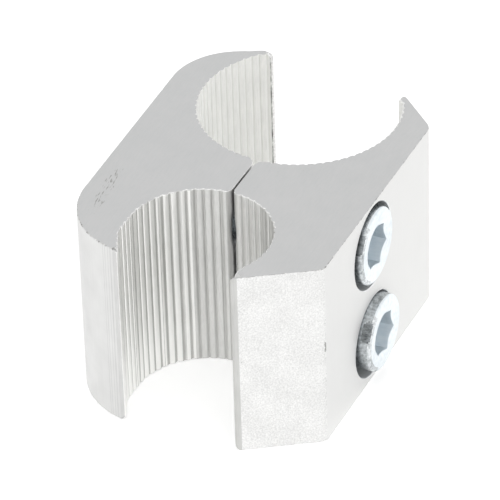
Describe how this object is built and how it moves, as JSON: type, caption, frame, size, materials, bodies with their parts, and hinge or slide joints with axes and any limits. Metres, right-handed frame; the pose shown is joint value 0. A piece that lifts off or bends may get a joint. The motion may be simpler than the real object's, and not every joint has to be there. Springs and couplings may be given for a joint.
{
  "type": "tube clamp",
  "caption": "Clamp that joins parallel tubes of unequal diameter: grooved extruded jaws, drawn together by socket cap screws in counterbored holes.",
  "frame": {"origin": "on the large tube's axis, level with the lower sawn end", "axes": "+X from the small tube to the large tube, +Y from the screw heads to the rear jaw's back, +Z along both tubes, up"},
  "size_m": [0.0735, 0.056, 0.04],
  "materials": {
    "extruded_aluminium": "plain extruded faces, sawn ends, no coating",
    "zinc_plated_steel": "bright zinc plating with a slight blue cast"
  },
  "bodies": {
    "front": {"front_block": "extruded_aluminium"},
    "rear": {"rear_jaw": "extruded_aluminium"},
    "upper_bolt": {"upper_screw": "zinc_plated_steel"},
    "lower_bolt": {"lower_screw": "zinc_plated_steel"}
  },
  "joints": [
    {"name": "jaw_slide", "type": "slide", "parent": "front", "child": "rear", "axis": [0, 1, 0], "range_m": [-0.0003, 0.018]},
    {"name": "upper_screw_turn", "type": "hinge", "parent": "front", "child": "upper_bolt", "pos_m": [-0.0255, -0.02, 0.03055], "axis": [0, -1, 0], "range_deg": [-73, 4321]},
    {"name": "lower_screw_turn", "type": "hinge", "parent": "front", "child": "lower_bolt", "pos_m": [-0.0255, -0.02, 0.01055], "axis": [0, -1, 0], "range_deg": [-73, 4321]}
  ],
  "couplings": [
    {"joint": "upper_screw_turn", "follows": "jaw_slide", "rad_per_m": 4188.8},
    {"joint": "lower_screw_turn", "follows": "jaw_slide", "rad_per_m": 4188.8}
  ]
}
